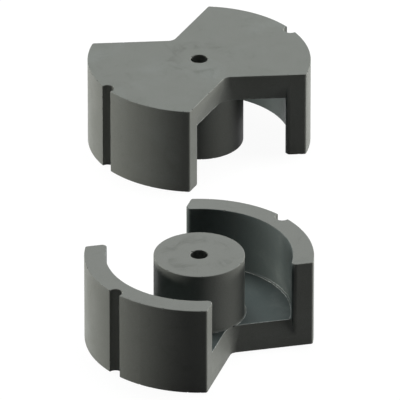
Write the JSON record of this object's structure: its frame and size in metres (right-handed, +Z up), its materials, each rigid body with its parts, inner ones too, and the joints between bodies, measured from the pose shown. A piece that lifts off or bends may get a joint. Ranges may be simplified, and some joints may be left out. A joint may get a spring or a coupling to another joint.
{
  "type": "transformer ferrite core",
  "caption": "Two-piece round ferrite core for a power transformer: notched plates with bored centre posts and curved side walls, halves set down apart.",
  "frame": {"origin": "centre of the lower half's bore in the plane of its back face, which is the surface that both halves rest on", "axes": "+Z up along the lower half's post, from back face to mating face; X through the middles of its two curved walls; Y through its two V notches"},
  "size_m": [0.1604, 0.1543, 0.0295],
  "materials": {
    "ferrite": "satin grey sintered ferrite, a little smoother on the ground mating faces"
  },
  "bodies": {
    "root": {"lower_half": "ferrite", "upper_half": "ferrite"}
  },
  "joints": []
}
